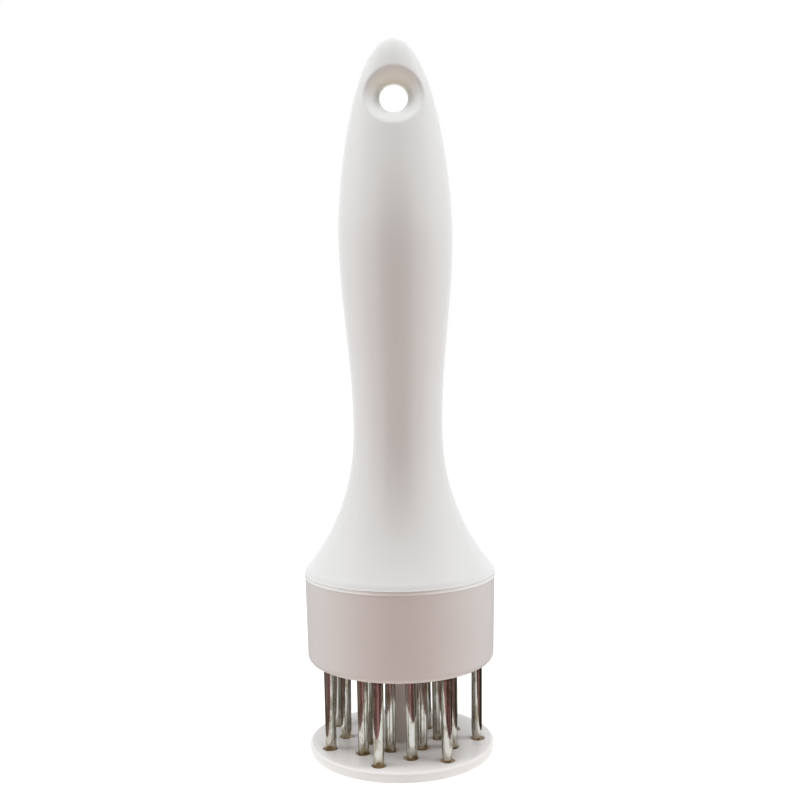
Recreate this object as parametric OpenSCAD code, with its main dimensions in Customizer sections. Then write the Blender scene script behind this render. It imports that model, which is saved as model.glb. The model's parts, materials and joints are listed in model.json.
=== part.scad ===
// Needle meat tenderizer. A push handle carries a cup with three rings of fixed steel needles.
// A sprung guard plate covers the tips and slides up a central post when the handle is pressed.
// Millimetres. Origin: centre of the guard plate's underside. +Z runs up the handle.
// The hang hole runs along Y, so the handle's broad side faces -Y and +Y.

/* [Guard plate] */
// How much smaller the plate's radius is than the cup's foot
plate_inset = 0.15; // [0:0.05:0.6]
// Thickness of the guard plate
plate_t = 3; // [2.6:0.1:4.5]
// How far the side of the plate draws in towards its underside
plate_draft_w = 0.3; // [0:0.05:0.6]
// Rounding of the upper and lower edge of the plate
plate_edge_r = 0.5; // [0.2:0.1:0.9]

/* [Needles] */
// Needles in each of the three rings
needles_per_ring = 7; // [5:1:8]
// Gap between the heads of the outer ring and the cup's wall
wall_gap = 0.65; // [0.4:0.05:1]
// Gap between the heads of the inner ring and the guide tube
tube_gap = 1; // [0.4:0.05:1.4]
// Angle of the first needle of the outer ring
ring_turn = -4; // [-25:1:25]
// Diameter of a needle
needle_d = 3; // [2.4:0.1:3.2]
// Diameter of a needle's head
head_d = 4.6; // [4.2:0.1:4.8]
// Thickness of a needle's head
head_t = 1.4; // [1.2:0.1:2]
// Length of the chisel end of a needle
tip_len = 4; // [3:0.1:6]
// Thickness of the blunt edge at a needle's end
tip_edge_w = 0.8; // [0.4:0.1:1.4]
// Height of the needle ends above the plate's underside
tip_recess_h = 1; // [0.5:0.1:1.6]
// Gap all round between a needle and its hole in the plate
hole_gap = 0.5; // [0.4:0.05:0.7]
// Share of that gap by which a needle strays from upright
stray_share = 0.6; // [0:0.1:0.7]

/* [Needle cup] */
// Diameter of the cup under its lip
cup_d = 53.6; // [53.2:0.1:58]
// How much the cup's radius draws in towards its foot
cup_taper_w = 0.45; // [0:0.05:0.6]
// Height of the cup
cup_h = 24.9; // [22:0.1:30]
// Wall of the cup
cup_wall = 1.8; // [1.4:0.1:2]
// Floor of the cup, which holds the needles
cup_floor = 3; // [2.8:0.1:4]
// Rounding of the cup's lower edge
cup_foot_r = 2; // [1:0.1:2.6]
// Height of the fine lip at the top of the cup
cup_lip_h = 0.7; // [0.4:0.1:1.2]
// How far the lip stands out of the cup's side
cup_lip_w = 0.15; // [0.05:0.05:0.3]
// Open height between the guard plate and the cup, at rest
open_gap = 23.5; // [18:0.1:28]
// Height of the needle clamp plate
clamp_t = 2.4; // [1.6:0.1:3]
// Height of the bosses that carry the clamp plate
boss_h = 0.6; // [0.4:0.1:0.9]
// Wall of those bosses
boss_wall = 0.8; // [0.6:0.1:0.9]

/* [Post and spring] */
// Diameter of the guide post
post_d = 9; // [8:0.1:9.6]
// Length of the cup's bore that guides the post
guide_len = 12; // [10:0.1:16]
// Wall of the guide tube
guide_wall = 2.4; // [2:0.1:2.6]
// Diameter of the post's foot where it passes the plate
foot_d = 6; // [5:0.1:7]
// How far the staked end of the foot spreads
stake_w = 0.8; // [0.4:0.1:1]
// How far the washer on top of the post stands out beyond the spring
washer_edge = 0.3; // [0.1:0.05:0.6]
// Thickness of the washer
washer_t = 1.2; // [0.8:0.1:2]
// Mean diameter of the return spring
spring_d = 11.2; // [10.6:0.1:11.6]
// Wire diameter of the return spring
wire_d = 1.2; // [0.9:0.1:1.3]
// Open turns of the return spring
spring_turns = 12; // [8:1:14]
// Length of the spring at rest
spring_len = 54; // [48:0.5:60]

/* [Screws] */
// Shank diameter of the clamp screws
clamp_screw_d = 2.4; // [2:0.1:2.6]
// Shank diameter of the post's retaining screw
post_screw_d = 3; // [2.4:0.1:3.4]
// Depth of the retaining screw in the post
post_screw_len = 10; // [6:0.5:14]

/* [Handle] */
// Length of the handle from the seam at the cup to its top
handle_len = 148.6; // [140:0.1:160]
// How far the handle's rim stands over the cup
rim_over_w = 0.2; // [0.1:0.1:0.8]
// Height of the handle's rim
rim_h = 0.8; // [0.6:0.1:1.4]
// Diameter at the neck
neck_d = 25.2; // [24.6:0.1:27]
// Height of the neck above the seam
neck_h = 41.4; // [38:0.1:44]
// Width at the thickest part of the grip
grip_d = 31.9; // [30:0.1:35]
// Height of the thickest part of the grip above the seam
grip_h = 95.8; // [92:0.1:100]
// Depth of the handle's top as a share of its width
top_flatness = 0.6; // [0.55:0.01:0.8]
// Height above the seam where the round handle starts to flatten
flat_from_h = 90; // [80:0.1:100]
// Height above the seam where the flattening is complete
flat_to_h = 148.6; // [140:0.1:152]
// Wall of the flare and of the neck
shell_wall = 3; // [2.4:0.1:3.2]
// Height of the hollow above the seam
core_h = 96; // [94:0.1:98]
// Thickness of the ribs in the hollow
rib_t = 1.6; // [1.2:0.1:2.2]
// Depth of the spigot that plugs the handle into the cup
spigot_h = 6; // [5:0.1:8]
// Wall of the spigot
spigot_wall = 1.8; // [1.4:0.1:2.4]
// Height of the snap bead on the spigot
bead_h = 0.3; // [0.2:0.05:0.4]

/* [Hang hole] */
// Diameter of the hole at its waist
hang_d = 8; // [6:0.1:9]
// Length of the straight waist
hang_land_len = 2; // [1.6:0.1:3]
// Rounding from the waist out to the dish
hang_flare_r = 3.75; // [3:0.05:4.2]
// Distance of the hole's centre below the handle's top
hang_depth = 16.4; // [15:0.1:20]

/* [Hidden] */
ring_names = ["outer", "middle", "inner"];
function needle_name(ring, k) = str("needle_", ring_names[ring], "_", k + 1);
$fn = 96;

// Colours
gloss_white = "#eceeec";
satin_white = "#ded8d4";
plate_white = "#f1efed";
bright_steel = "#c9c9cc";
zinc = "#b4b6b8";

// Fits
slide_gap = 0.06;     // the post in its guide bore, all round
seat_gap = 0.03;      // pieces that sit tightly in each other, all round
free_gap = 0.3;       // pieces that pass each other without touching
over = 1;             // how far a cutter runs past the face that it opens

// Heights, from the plate's underside
cup_z = plate_t + open_gap;
floor_z = cup_z + cup_floor;
seam_z = cup_z + cup_h;
spigot_z = seam_z - spigot_h;
top_z = seam_z + handle_len;
guide_z = cup_z + guide_len;
clamp_z = floor_z + boss_h;
spring_z = guide_z + washer_t;
seat_z = spring_z + spring_len;
hang_z = top_z - hang_depth;
stake_lift = 0.2;     // height of the foot's staked end above the plate's underside

// Radii
cup_r = cup_d / 2;
cup_foot_outer_r = cup_r - cup_taper_w;
cup_bore_r = cup_foot_outer_r - cup_wall;
plate_r = cup_foot_outer_r - plate_inset;
rim_r = cup_r + rim_over_w;
neck_r = neck_d / 2;
grip_r = grip_d / 2;
post_r = post_d / 2;
guide_bore_r = post_r + slide_gap;
guide_r = guide_bore_r + guide_wall;
spigot_r = cup_bore_r - seat_gap;
spigot_bore_r = spigot_r - spigot_wall;
core_r = neck_r - shell_wall;
washer_r = (spring_d + wire_d) / 2 + washer_edge;
spring_bore_r = washer_r + free_gap;
boss_r = clamp_screw_d / 2 + boss_wall;
spring_seat_r = spring_d / 2 - wire_d / 2 - free_gap;

// Needle places. The middle ring lies half way, and is turned by half a step
outer_ring_r = cup_bore_r - wall_gap - head_d / 2;
inner_ring_r = guide_r + tube_gap + head_d / 2;
ring_radii = [outer_ring_r, (outer_ring_r + inner_ring_r) / 2, inner_ring_r];
needle_step = 360 / needles_per_ring;
function needle_angle(ring, k) = ring_turn + (k + (ring == 1 ? 0.5 : 0)) * needle_step;
head_seat = 0.3;      // depth of the head's seat in the cup's floor
head_gap = 0.1;       // gap round a head in its pockets
stray = hole_gap * stray_share;
stray_tilt = atan(stray / floor_z);
// Direction in which a needle strays: inwards on the outer ring, and sideways in turn on the others
stray_turns = [180, 90, -60];
stray_spread = 25;
function stray_angle(ring, k) = needle_angle(ring, k) + stray_turns[ring] + stray_spread * (k % 3 - 1);
// The chisel ends were ground before the needles were fitted, so each one faces its own way
tip_turns = [85, 20, 150, 60, 0, 10, 90, 40];
ring_tip_turns = [0, 30, -40];
function tip_angle(ring, k) = tip_turns[k] + ring_tip_turns[ring];

// The clamp plate has a screw in these gaps of the outer ring
clamp_screw_gaps = [0, 2, 4];
function clamp_screw_angle(gap) = ring_turn + (gap + 0.5) * needle_step;
pan_head_share = 1.8;     // head diameter over shank diameter
pan_height_share = 0.5;   // head height over shank diameter
drive_share = 0.28;       // width of a cross recess over shank diameter

rib_count = 6;

// Half the handle's width at height u above the seam
flare_power = 2.25;
dome_power = 1.6;
dome_root = 0.455;
function flare_r(u) =
    neck_r + (rim_r - neck_r) * pow((neck_h - u) / (neck_h - rim_h), flare_power);
function waist_r(u) =
    (grip_r + neck_r) / 2 + (grip_r - neck_r) / 2 * cos(180 * (grip_h - u) / (grip_h - neck_h));
function dome_r(u) =
    grip_r * pow(1 - pow((u - grip_h) / (handle_len - grip_h), dome_power), dome_root);
function handle_r(u) = u < neck_h ? flare_r(u) : u < grip_h ? waist_r(u) : dome_r(u);
// Depth over width at height u: round below, an oval above
function ease(t) = let (s = min(1, max(0, t))) s * s * (3 - 2 * s);
function flatness(u) = 1 - (1 - top_flatness) * ease((u - flat_from_h) / (flat_to_h - flat_from_h));

// Heights of the handle's rings: closer together where the outline bends more
flare_steps = 16;
waist_steps = 12;
dome_steps = 20;
ring_heights = concat(
    [for (i = [0 : flare_steps - 1]) rim_h + (neck_h - rim_h) * i / flare_steps],
    [for (i = [0 : waist_steps - 1]) neck_h + (grip_h - neck_h) * i / waist_steps],
    [for (i = [0 : dome_steps - 1]) handle_len - (handle_len - grip_h) * pow(1 - i / dome_steps, 2)]
);
handle_sides = 56;

function oval_ring(r, flat, z, sides) =
    [for (j = [0 : sides - 1]) [r * cos(360 * j / sides), flat * r * sin(360 * j / sides), z]];

// A closed skin over rings of points, with a point at each end
module skin(rings, low_end, high_end) {
    sides = len(rings[0]);
    last = len(rings) - 1;
    low = (last + 1) * sides;
    side_faces = [
        for (i = [0 : last - 1], j = [0 : sides - 1])
            let (a = i * sides + j, b = i * sides + (j + 1) % sides)
            each [[a, a + sides, b + sides], [a, b + sides, b]]
    ];
    low_faces = [for (j = [0 : sides - 1]) [low, j, (j + 1) % sides]];
    high_faces = [
        for (j = [0 : sides - 1]) [low + 1, last * sides + (j + 1) % sides, last * sides + j]
    ];
    polyhedron(
        concat([for (ring = rings) each ring], [low_end, high_end]),
        concat(side_faces, low_faces, high_faces),
        convexity = 6
    );
}

module handle_outside() {
    rim_rings = [
        oval_ring(cup_r, 1, seam_z, handle_sides),
        oval_ring((cup_r + 2 * rim_r) / 3, 1, seam_z + rim_h / 3, handle_sides)
    ];
    body_rings = [
        for (u = ring_heights) oval_ring(handle_r(u), flatness(u), seam_z + u, handle_sides)
    ];
    skin(concat(rim_rings, body_rings), [0, 0, seam_z], [0, 0, top_z]);
}

// The hollow of the handle: it follows the flare, then the neck, and ends in the grip
module handle_hollow() {
    hollow_steps = 12;
    core_draft = 0.6;
    core_end_r = 2;
    flare_side = [
        for (i = [0 : hollow_steps])
            let (u = rim_h + (neck_h - rim_h) * i / hollow_steps)
            [min(spigot_bore_r, handle_r(u) - shell_wall), seam_z + u]
    ];
    rotate_extrude()
        polygon(concat(
            [[0, spigot_z - over], [spigot_bore_r, spigot_z - over], [spigot_bore_r, seam_z]],
            flare_side,
            [
                [core_r - core_draft, seam_z + core_h - core_end_r],
                [core_r - core_draft - core_end_r, seam_z + core_h],
                [0, seam_z + core_h]
            ]
        ));
}

// Ribs stiffen the hollow and guide the spring. Their step at seat_z carries the spring's upper end
module handle_ribs() {
    for (k = [0 : rib_count - 1])
        rotate([0, 0, (k + 0.5) * 360 / rib_count]) {
            translate([spring_bore_r, -rib_t / 2, seam_z])
                cube([rim_r, rib_t, handle_len]);
            translate([spring_seat_r, -rib_t / 2, seat_z])
                cube([rim_r, rib_t, handle_len]);
        }
}

// Outline of the snap bead. Its foot runs into the wall by sink
module bead_outline(r, out, sink) {
    bead_z = seam_z - spigot_h / 2;
    polygon([[r - sink, bead_z - 2 * out], [r, bead_z - 2 * out], [r + out, bead_z - out / 2],
             [r + out, bead_z + out / 2], [r, bead_z + 2 * out], [r - sink, bead_z + 2 * out]]);
}

module handle_spigot() {
    rotate_extrude()
        union() {
            translate([spigot_bore_r - over, spigot_z])
                square([spigot_wall + over, spigot_h + rim_h / 2]);
            bead_outline(spigot_r, bead_h, spigot_wall / 2);
        }
}

// The cutter for the hang hole: a short straight waist that opens into a dish on both sides
module hang_cutter() {
    flare_points = 10;
    dish_r = hang_d / 2 + hang_flare_r;
    dish_draft = 0.9;
    flare = [
        for (i = [0 : flare_points])
            let (a = 90 * i / flare_points)
            [dish_r - hang_flare_r * cos(a), hang_land_len / 2 + hang_flare_r * sin(a)]
    ];
    half = concat(flare, [[dish_r + dish_draft, grip_r]]);
    mirrored = [for (i = [len(half) - 1 : -1 : 0]) [half[i][0], -half[i][1]]];
    translate([0, 0, hang_z])
        rotate([90, 0, 0])
            rotate_extrude()
                polygon(concat([[0, -grip_r]], mirrored, half, [[0, grip_r]]));
}

module handle_shell() {
    color(gloss_white)
        difference() {
            union() {
                handle_outside();
                handle_spigot();
            }
            difference() {
                handle_hollow();
                handle_ribs();
            }
            hang_cutter();
        }
}

// Places what belongs to one needle: zero is the top of the cup's floor, and the tip strays to angle s
module at_needle(ring, k) {
    a = needle_angle(ring, k);
    s = stray_angle(ring, k);
    translate([ring_radii[ring] * cos(a), ring_radii[ring] * sin(a), floor_z])
        rotate([0, 0, s])
            rotate([0, -stray_tilt, 0])
                rotate([0, 0, -s])
                    children();
}

module needle(ring, k) {
    below_floor = floor_z - tip_recess_h;
    half_width = needle_d / 2;
    flank = atan((half_width - tip_edge_w / 2) / tip_len);
    color(bright_steel)
        at_needle(ring, k)
            union() {
                translate([0, 0, -head_seat])
                    cylinder(d = head_d, h = head_t);
                difference() {
                    translate([0, 0, -below_floor])
                        cylinder(d = needle_d, h = below_floor);
                    rotate([0, 0, tip_angle(ring, k)])
                        for (side = [0, 180])
                            rotate([0, 0, side])
                                translate([0, tip_edge_w / 2, -below_floor])
                                    rotate([-flank, 0, 0])
                                        translate([-needle_d, 0, -needle_d])
                                            cube([2 * needle_d, needle_d, 3 * tip_len]);
                }
            }
}

module needle_cup() {
    outline = [
        [guide_bore_r, cup_z], [cup_foot_outer_r - cup_foot_r, cup_z],
        for (i = [1 : 8])
            let (a = 90 * i / 8 - 90)
            [cup_foot_outer_r - cup_foot_r + cup_foot_r * cos(a), cup_z + cup_foot_r + cup_foot_r * sin(a)],
        [cup_r, seam_z - cup_lip_h], [cup_r + cup_lip_w, seam_z - 0.8 * cup_lip_h],
        [cup_r + cup_lip_w, seam_z - 0.3 * cup_lip_h], [cup_r, seam_z],
        [cup_bore_r, seam_z], [cup_bore_r, floor_z], [guide_r, floor_z],
        [guide_r, guide_z], [guide_bore_r, guide_z]
    ];
    color(satin_white)
        difference() {
            union() {
                rotate_extrude()
                    polygon(outline);
                for (gap = clamp_screw_gaps)
                    rotate([0, 0, clamp_screw_angle(gap)])
                        translate([outer_ring_r, 0, floor_z - over])
                            cylinder(r = boss_r, h = boss_h + over);
            }
            rotate_extrude()
                bead_outline(cup_bore_r, bead_h + seat_gap, over);
            for (ring = [0 : 2], k = [0 : needles_per_ring - 1])
                at_needle(ring, k) {
                    translate([0, 0, -2 * cup_floor])
                        cylinder(r = needle_d / 2 + seat_gap, h = 3 * cup_floor);
                    translate([0, 0, -head_seat])
                        cylinder(r = head_d / 2 + head_gap, h = head_t);
                }
            for (gap = clamp_screw_gaps)
                rotate([0, 0, clamp_screw_angle(gap)])
                    translate([outer_ring_r, 0, cup_z + cup_floor / 3])
                        cylinder(r = clamp_screw_d / 2 + seat_gap, h = cup_floor + boss_h);
        }
}

module needle_clamp_plate() {
    color(satin_white)
        difference() {
            translate([0, 0, clamp_z])
                cylinder(r = cup_bore_r - free_gap, h = clamp_t);
            translate([0, 0, clamp_z - over])
                cylinder(r = guide_r + free_gap, h = clamp_t + 2 * over);
            for (ring = [0 : 2], k = [0 : needles_per_ring - 1])
                at_needle(ring, k)
                    translate([0, 0, -head_seat])
                        cylinder(r = head_d / 2 + head_gap, h = head_t);
            for (gap = clamp_screw_gaps)
                rotate([0, 0, clamp_screw_angle(gap)])
                    translate([outer_ring_r, 0, clamp_z - over])
                        cylinder(r = clamp_screw_d / 2 + seat_gap, h = clamp_t + 2 * over);
        }
}

// A pan-head screw with a cross recess. Its zero is under the head
module pan_screw(shank_d, shank_len) {
    pan_d = shank_d * pan_head_share;
    pan_h = shank_d * pan_height_share;
    edge = pan_h / 3;
    drive_w = shank_d * drive_share;
    difference() {
        rotate_extrude()
            polygon([[0, -shank_len], [shank_d / 4, -shank_len], [shank_d / 2, shank_d / 4 - shank_len],
                     [shank_d / 2, 0], [pan_d / 2, 0], [pan_d / 2, pan_h - edge],
                     [pan_d / 2 - edge, pan_h], [0, pan_h]]);
        for (turn = [0, 90])
            rotate([0, 0, turn])
                translate([-pan_d / 4, -drive_w / 2, pan_h / 3])
                    cube([pan_d / 2, drive_w, pan_h]);
    }
}

module clamp_screws() {
    clamp_screw_len = clamp_t + boss_h + cup_floor / 2;
    color(zinc)
        for (gap = clamp_screw_gaps)
            rotate([0, 0, clamp_screw_angle(gap)])
                translate([outer_ring_r, 0, clamp_z + clamp_t])
                    pan_screw(clamp_screw_d, clamp_screw_len);
}

// Points of the spring's wire: a close turn at each end and open turns between
close_pitch = wire_d * 1.5;
turns = spring_turns + 2;
open_pitch = (spring_len - wire_d - 2 * close_pitch) / spring_turns;
rings_per_turn = 12;
wire_sides = 6;
function wire_rise(t) =
    close_pitch * min(t, 1) + open_pitch * min(max(t - 1, 0), spring_turns)
    + close_pitch * max(t - 1 - spring_turns, 0);
function wire_ring(t) =
    let (a = 360 * t, z = spring_z + wire_d / 2 + wire_rise(t))
    [for (j = [0 : wire_sides - 1])
        let (b = 360 * (j + 0.5) / wire_sides, r = spring_d / 2 + wire_d / 2 * cos(b))
        [r * cos(a), r * sin(a), z - wire_d / 2 * sin(b)]];
echo(spring_least_gap = min(close_pitch, open_pitch) - wire_d);

module return_spring() {
    low_z = spring_z + wire_d / 2;
    color(bright_steel)
        skin(
            [for (i = [0 : turns * rings_per_turn]) wire_ring(i / rings_per_turn)],
            [spring_d / 2, 0, low_z],
            [spring_d / 2 * cos(360 * turns), 0, low_z + wire_rise(turns)]
        );
}

module guard_plate() {
    foot_seat_r = foot_d / 2 + seat_gap;
    low_r = plate_r - plate_draft_w;
    corner = plate_edge_r;
    corner_steps = 4;
    outline = [
        [0, 0],
        for (i = [0 : corner_steps])
            let (a = 90 * i / corner_steps - 90)
            [low_r - corner + corner * cos(a), corner + corner * sin(a)],
        for (i = [0 : corner_steps])
            let (a = 90 * i / corner_steps)
            [plate_r - corner + corner * cos(a), plate_t - corner + corner * sin(a)],
        [0, plate_t]
    ];
    color(plate_white)
        difference() {
            rotate_extrude()
                polygon(outline);
            for (ring = [0 : 2], k = [0 : needles_per_ring - 1])
                rotate([0, 0, needle_angle(ring, k)])
                    translate([ring_radii[ring], 0, -over])
                        cylinder(r = needle_d / 2 + hole_gap, h = plate_t + 2 * over);
            rotate_extrude()
                polygon([[0, -over], [foot_seat_r + stake_w, -over], [foot_seat_r + stake_w, stake_lift],
                         [foot_seat_r, stake_lift + stake_w], [foot_seat_r, plate_t + over],
                         [0, plate_t + over]]);
        }
}

module guide_post() {
    color(satin_white)
        difference() {
            rotate_extrude()
                polygon([[0, stake_lift], [foot_d / 2 + stake_w, stake_lift],
                         [foot_d / 2, stake_lift + stake_w], [foot_d / 2, plate_t],
                         [post_r, plate_t], [post_r, guide_z], [0, guide_z]]);
            translate([0, 0, guide_z - post_screw_len - over])
                cylinder(r = post_screw_d / 2 + seat_gap, h = post_screw_len + 2 * over);
        }
}

module post_washer() {
    color(zinc)
        translate([0, 0, guide_z])
            difference() {
                cylinder(r = washer_r, h = washer_t);
                translate([0, 0, -over])
                    cylinder(r = post_screw_d / 2 + seat_gap, h = washer_t + 2 * over);
            }
}

module post_screw() {
    color(zinc)
        translate([0, 0, spring_z])
            pan_screw(post_screw_d, post_screw_len + washer_t);
}

handle_shell();
needle_cup();
needle_clamp_plate();
clamp_screws();
return_spring();
guard_plate();
guide_post();
post_washer();
post_screw();
for (ring = [0 : 2], k = [0 : needles_per_ring - 1])
    needle(ring, k);
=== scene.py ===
"""The looks of a needle meat tenderizer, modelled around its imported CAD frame.

The frame gives every size that a piece shares with its neighbours. Lengths are in metres, +Z runs
up the handle, and the hang hole runs along Y. Each operator makes one piece, or one group of like
pieces, and puts it on the body that carries it.
"""

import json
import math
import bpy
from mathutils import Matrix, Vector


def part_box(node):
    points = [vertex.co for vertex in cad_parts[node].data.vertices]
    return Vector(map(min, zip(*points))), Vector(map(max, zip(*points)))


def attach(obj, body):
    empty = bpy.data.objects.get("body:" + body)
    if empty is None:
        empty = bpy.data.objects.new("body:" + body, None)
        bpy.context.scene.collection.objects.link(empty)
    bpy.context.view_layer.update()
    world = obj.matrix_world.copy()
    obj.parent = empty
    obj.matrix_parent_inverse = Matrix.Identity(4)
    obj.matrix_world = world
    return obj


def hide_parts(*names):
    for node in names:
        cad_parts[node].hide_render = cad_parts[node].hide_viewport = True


bl_info = {
    "name": "Needle Meat Tenderizer",
    "version": (1, 0, 0),
    "blender": (4, 5, 0),
    "location": "View3D > Sidebar > Tenderizer",
    "description": "Models a push-down needle tenderizer with its finishes and a studio around it",
    "category": "Add Mesh",
}

import bmesh
import bpy
from mathutils import Euler, Matrix, Quaternion, Vector

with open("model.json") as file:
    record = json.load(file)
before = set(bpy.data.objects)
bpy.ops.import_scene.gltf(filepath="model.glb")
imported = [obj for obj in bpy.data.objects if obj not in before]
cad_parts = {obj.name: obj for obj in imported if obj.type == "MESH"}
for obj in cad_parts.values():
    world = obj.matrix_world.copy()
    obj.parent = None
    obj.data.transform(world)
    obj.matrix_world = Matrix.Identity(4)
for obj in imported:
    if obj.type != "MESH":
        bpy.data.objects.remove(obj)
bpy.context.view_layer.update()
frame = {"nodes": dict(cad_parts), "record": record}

MM = 0.001
CLOSE = MM / 1000    # points nearer than this count as one
HANDLE_LOW, HANDLE_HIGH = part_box("handle_shell")
CUP_LOW, CUP_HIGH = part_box("needle_cup")
PLATE_LOW, PLATE_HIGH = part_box("guard_plate")
POST_LOW, POST_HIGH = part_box("guide_post")
SEAM_Z = CUP_HIGH.z
TOP_Z = HANDLE_HIGH.z
NEEDLES = sorted(n for n in frame["nodes"] if n.startswith("needle_") and n[-1].isdigit())
HANG_HOLE = next(m for m in frame["record"]["mounts"] if m["name"] == "hang_hole")


def maker(kind, **settings):
    """A function that makes one kind of property from a name, a description and a default."""
    return lambda name, description, default: kind(
        name=name, description=description, default=default, **settings
    )


length = maker(bpy.props.FloatProperty, min=0, precision=5, unit="LENGTH")
number = maker(bpy.props.FloatProperty, min=0)
count = maker(bpy.props.IntProperty, min=1)
angle = maker(bpy.props.FloatProperty, subtype="ANGLE")
watts = maker(bpy.props.FloatProperty, min=0, unit="POWER")
spot = maker(bpy.props.FloatVectorProperty, size=3, subtype="TRANSLATION")
extent = maker(bpy.props.FloatVectorProperty, size=2, min=0, unit="LENGTH")
colour = maker(bpy.props.FloatVectorProperty, size=3, min=0, max=1, subtype="COLOR")


def mm(name, description, size):
    """A length property whose default is given in millimetres."""
    return length(name, description, size * MM)


class HandleSizes(bpy.types.PropertyGroup):
    """Sizes of the handle. Heights are measured from the seam at the cup."""

    bead_r: mm("Bead rounding", "Rounding of the bead at the foot of the flare", 0.08)
    bead_out: mm("Bead overhang", "How far the bead stands out beyond the flare", 0.27)
    rim_h: mm("Rim height", "Height at which the flare starts", 0.8)
    neck_r: mm("Neck radius", "Radius at the narrowest place", 12.6)
    neck_h: mm("Neck height", "Height of the narrowest place", 41.4)
    grip_r: mm("Grip radius", "Half the width at the thickest place", 15.95)
    grip_h: mm("Grip height", "Height of the thickest place", 95.8)
    flat_from_h: mm("Flat start", "Height where the round grip starts to flatten", 90)
    flat_to_h: mm("Flat end", "Height where the flattening is complete", 148.6)
    flatness: number("Top flatness", "Depth of the top as a share of its width", 0.6)
    flare_power: number("Flare power", "How late the flare opens", 2.25)
    dome_power: number("Dome power", "How late the top starts to close", 1.6)
    dome_root: number("Dome root", "How blunt the top is", 0.455)
    spigot_h: length("Spigot height", "Depth of the plug in the cup", SEAM_Z - HANDLE_LOW.z)
    spigot_wall: mm("Spigot wall", "Wall of the plug in the cup", 1.8)
    spigot_gap: mm("Spigot gap", "Gap all round the plug in the cup", 0.03)
    wall: mm("Wall", "Wall of the flare and of the neck", 3)
    core_h: mm("Hollow height", "Height of the hollow", 96)
    cap_h: mm("Cap height", "Height of the blunt top", 5.6)
    hole_r: mm("Hole radius", "Radius of the hang hole at its waist", HANG_HOLE["dims"]["r_mm"])
    waist: mm("Hole waist", "Length of the straight waist", HANG_HOLE["dims"]["length_mm"])
    dish_r: mm("Dish radius", "Radius at the top of the dish around the hole", 8.1)
    dish_down: mm("Dish drop", "How much further the dish reaches at its bottom", 0.5)
    dish_edge: mm("Dish edge", "Rounding of the dish's rim", 0.3)
    dish_from: angle("Dish start", "Where the dish's trumpet curve starts", math.radians(15))
    dish_to: angle("Dish end", "Where the dish's trumpet curve ends", math.radians(80))
    soft_reach: mm("Soft reach", "Width of the lower rim's soft band", 1.1)
    soft_share: number("Soft share", "How far up the rim the softening goes", 0.4)
    sides: count("Sides", "Points around the handle", 128)


class CupSizes(bpy.types.PropertyGroup):
    """Sizes of the needle cup."""

    taper: mm("Taper", "How much the radius draws in towards the foot", 0.45)
    wall: mm("Wall", "Wall of the cup", 1.8)
    floor: mm("Floor", "Thickness of the needles' floor", 3)
    foot_r: mm("Foot rounding", "Rounding of the lower edge", 2)
    lip_h: mm("Lip height", "Height of the fine lip at the top", 1)
    lip_out: mm("Lip overhang", "How far the lip stands out of the side", 0.15)
    lip_in: mm("Lip slope", "How far the lip's upper end draws in", 0.08)
    guide_wall: mm("Guide wall", "Wall of the tube that guides the post", 2.4)
    guide_gap: mm("Guide gap", "Gap all round the post in its guide", 0.06)
    sides: count("Sides", "Points around the cup", 192)


class PlateSizes(bpy.types.PropertyGroup):
    """Sizes of the guard plate."""

    draft: mm("Draft", "How far the side draws in towards the underside", 0.3)
    edge_r: mm("Lower edge rounding", "Rounding of the lower edge", 0.5)
    top_edge_r: mm("Upper edge rounding", "Rounding of the upper edge", 0.9)
    hole_r: mm("Hole radius", "Radius of a needle's hole", 2)
    hole_break: mm("Hole edge break", "Rounding of the edges of the holes", 0.22)
    sides: count("Sides", "Points around the plate", 192)
    hole_sides: count("Hole sides", "Points around each hole", 48)


class PostSizes(bpy.types.PropertyGroup):
    """Sizes of the guide post."""

    foot_r: mm("Foot radius", "Radius of the foot in the plate", 3)
    stake: mm("Stake", "How far the foot is spread to hold the plate", 0.8)
    collar: mm("Collar rounding", "Rounding of the shoulder and of the top", 0.3)
    core_r: mm("Core radius", "Radius of the fine bore along the axis", 0.2)
    screw_r: mm("Screw radius", "Radius of the hole for the screw", 1.53)
    screw_h: mm("Screw depth", "Depth of the hole for the screw", 10)
    sides: count("Sides", "Points around the post", 96)


class NeedleSizes(bpy.types.PropertyGroup):
    """Sizes of a needle."""

    radius: mm("Radius", "Radius of the rod", 1.5)
    head_r: mm("Head radius", "Radius of the head", 2.3)
    head_h: mm("Head height", "Thickness of the head", 1.4)
    tip_h: mm("Tip length", "Length of the chisel end", 4)
    tip_edge: mm("Tip edge", "Thickness of the blunt edge", 0.8)
    edge_break: mm("Edge break", "Rounding where the ground faces end", 0.12)
    sides: count("Sides", "Points around a needle", 48)


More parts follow.
